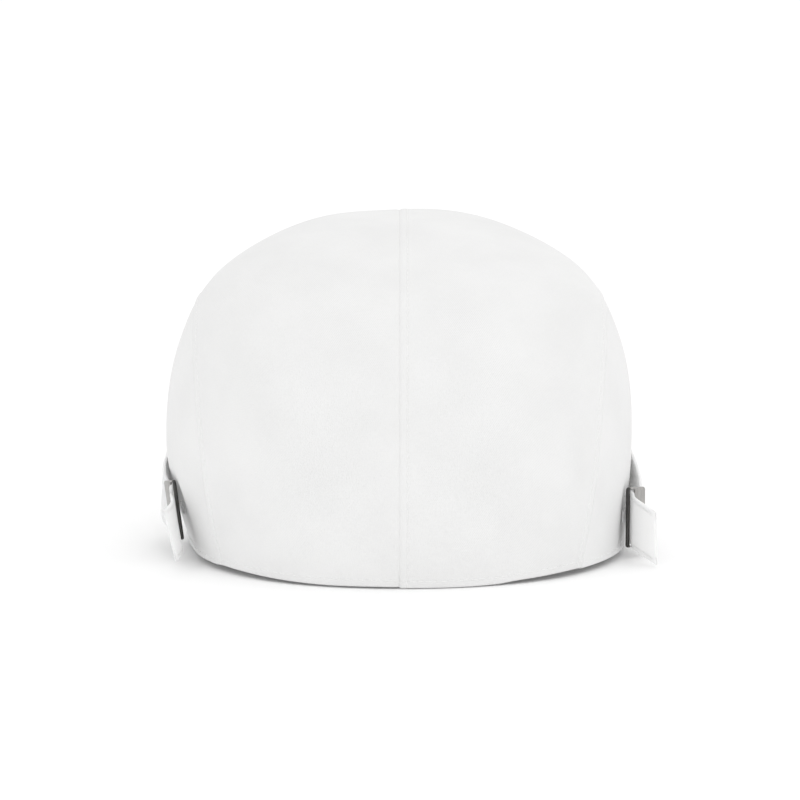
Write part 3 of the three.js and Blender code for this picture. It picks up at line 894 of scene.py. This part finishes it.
strap_edges = (0, 0.1, 0.25, 0.45, 0.7, 1.1, 1.4, 1.7, 2.0, 2.3, 2.7)
strap_grid = {"rows_apart": 0.5, "columns_apart": 1.2, "rows_without_stitches": 3}
for adjuster in adjusters:
    line, ups = smooth_line(*strap_line(adjuster), strap_grid["rows_apart"])
    heights = stops_between(strap["width"], strap_edges, strap_edges, strap_grid["columns_apart"])
    heights -= strap["width"] / 2
    grid = line[:, None] + ups[:, None] * heights[None, :, None]
    normal = face_normals(grid, np.array((adjuster["sign"], 0.0, 0.0)))
    along = np.broadcast_to(lengths_along(line)[:, None], grid.shape[:2])
    from_side_edge = strap["width"] / 2 - np.abs(heights)[None, :]
    from_end = np.minimum(along, along[-1:] - along)
    fold_in = rolled(np.minimum(from_side_edge, from_end), strap["thick"] / 2)
    sides_sewn = groove(from_side_edge - strap["inset"], strap["furrow_width"]) * puckered(along)
    furrow = strap["furrow"] * (sides_sewn + groove(along - strap["inset"], strap["furrow_width"]))
    half = (strap["thick"] / 2 - fold_in - furrow)[..., None]
    outer, inner = grid + normal * half, grid - normal * half
    points, faces = closed_sheet(outer, inner)
    weave = weave_places(along, np.broadcast_to(heights, along.shape))
    marks = {"weave": weave, "from_tip": np.tile(along.ravel(), 2)}
    side = adjuster["side"]
    piece = new_piece(f"strap_{side}_cloth", points, faces, strap_cloth, marks)
    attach(piece, "root")
    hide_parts(f"strap_{side}")
    bare = strap_grid["rows_without_stitches"]
    low_row = strap_edges.index(strap["inset"])
    rows = []
    for sheet, facing in ((outer, normal), (inner, -normal)):
        for k in (low_row, len(heights) - 1 - low_row):
            rows.append((sheet[bare:-bare, k], facing[bare:-bare, k]))
    sewn(f"strap_{side}_topstitch", rows)


# The buckles: a brushed steel plate on each strap, with one upright slot near its rear end. Its edges are
# rounded over, its brushing runs upright, and its rear bar is coloured near black as painted shade.
metal_look = {"Roughness": 0.34, "Metallic": 1.0}
buckle_metal, metal_start, metal_shader = finish_named("buckle_metal", metal_look)
brushing = metal_start.node("Attribute", {"attribute_name": "weave"}, None, "Vector")
scratches = brushing.stretched(9.0, 0.25, 9.0).noise(1.0, 3.0)
brushed = scratches.ramp(0.3, 0.7).colours((0.30, 0.292, 0.284), (0.50, 0.488, 0.475))
# Painted shade: the rear bar is coloured near black to stand for the shaded gap beside the wall that it
# mirrors.
rear_bar_painted_shade = scratches.ramp(0.3, 0.7).colours((0.05, 0.05, 0.05), (0.10, 0.097, 0.093))
past_bar = brushing.part(0).ramp(buckle["rear_bar"] - 0.1, buckle["rear_bar"] + 0.1)
past_bar.blend(rear_bar_painted_shade, brushed).feed(metal_shader, "Base Color")
(0.26 + scratches * 0.2).feed(metal_shader, "Roughness")
scratches.bump(0.4, 0.00006).feed(metal_shader, "Normal")


def rounded_outline(left, bottom, width, height, corner, steps=6):
    """Points round a rectangle with rounded corners, anticlockwise from its lower right corner."""
    points = []
    for k, (cx, cy) in enumerate(((1, 0), (1, 1), (0, 1), (0, 0))):
        centre_x = left + corner + cx * (width - 2 * corner)
        centre_y = bottom + corner + cy * (height - 2 * corner)
        for step in range(steps + 1):
            angle = math.pi / 2 * (k - 1 + step / steps)
            points.append((centre_x + corner * math.cos(angle), centre_y + corner * math.sin(angle)))
    return np.array(points)


for adjuster in adjusters:
    origin, along, up, out = buckle_frame(adjuster)
    tall, hole_tall, corner = buckle["height"], buckle["slot_height"], buckle["corner"]
    rim = rounded_outline(0, -tall / 2, buckle["length"], tall, corner)
    hole = rounded_outline(buckle["rear_bar"], -hole_tall / 2, buckle["slot"], hole_tall, corner / 3)
    count, thick = len(rim), buckle["thick"] / 2
    flat = np.concatenate([rim, hole])
    local = np.concatenate([np.c_[flat, np.full(2 * count, n)] for n in (thick, -thick)])
    k = np.arange(count)
    after = (k + 1) % count
    faces = np.concatenate([
        np.stack([k, after, after + count, k + count], axis=-1),
        np.stack([k + 2 * count, k + 3 * count, after + 3 * count, after + 2 * count], axis=-1),
        np.stack([k, k + 2 * count, after + 2 * count, after], axis=-1),
        np.stack([k + count, after + count, after + 3 * count, k + 3 * count], axis=-1),
    ])
    points = origin + local[:, :1] * along + local[:, 1:2] * up + local[:, 2:] * out
    if np.dot(np.cross(along, up), out) < 0:
        faces = faces[:, ::-1]
    side = adjuster["side"]
    plate = new_piece(f"buckle_{side}_plate", points, faces.tolist(), buckle_metal, {"weave": local})
    bevel = plate.modifiers.new("rounded_edges", "BEVEL")
    bevel.width = buckle["edge_round"] / 1000
    bevel.segments = 3
    bevel.angle_limit = math.radians(40)
    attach(plate, "root")
    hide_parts(f"buckle_{side}")


# The buckle tabs: a short strip of folded twill on the wall under each plate, which holds its rear bar.
# The strap and the plate hide it, so it is finished plainly.
tab_steps = (0, 0.02, 0.05, 0.1)
for adjuster in adjusters:
    places = stops_between(1.0, tab_steps, tab_steps, 0.1)
    grid = np.zeros((len(places), len(places), 3))
    normal = np.zeros_like(grid)
    for i, a in enumerate(places):
        for j, b in enumerate(places):
            y = adjuster["wall_y"] + tab["start"] + a * tab["length"]
            z = adjuster["mid_z"] + (b - 0.5) * tab["height"]
            spot, _, _, spot_out = wall_frame(adjuster["sign"], y, z)
            grid[i, j] = spot + spot_out * (tab["stand"] / 2 + seat_gap / 2 + tab["thick"] / 2)
            normal[i, j] = spot_out
    ends = np.minimum(places, 1 - places)
    from_rim = np.minimum(ends[:, None] * tab["length"], ends[None, :] * tab["height"])
    half = (tab["thick"] / 2 - rolled(from_rim, tab["thick"] / 2))[..., None]
    points, faces = closed_sheet(grid + normal * half, grid - normal * half)
    weave = np.tile(grid.reshape(-1, 3)[:, (1, 2, 0)], (2, 1))
    marks = {"weave": weave, "from_tip": np.zeros(len(weave))}
    side = adjuster["side"]
    piece = new_piece(f"buckle_tab_{side}_cloth", points, faces, strap_cloth, marks)
    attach(piece, "root")
    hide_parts(f"buckle_tab_{side}")
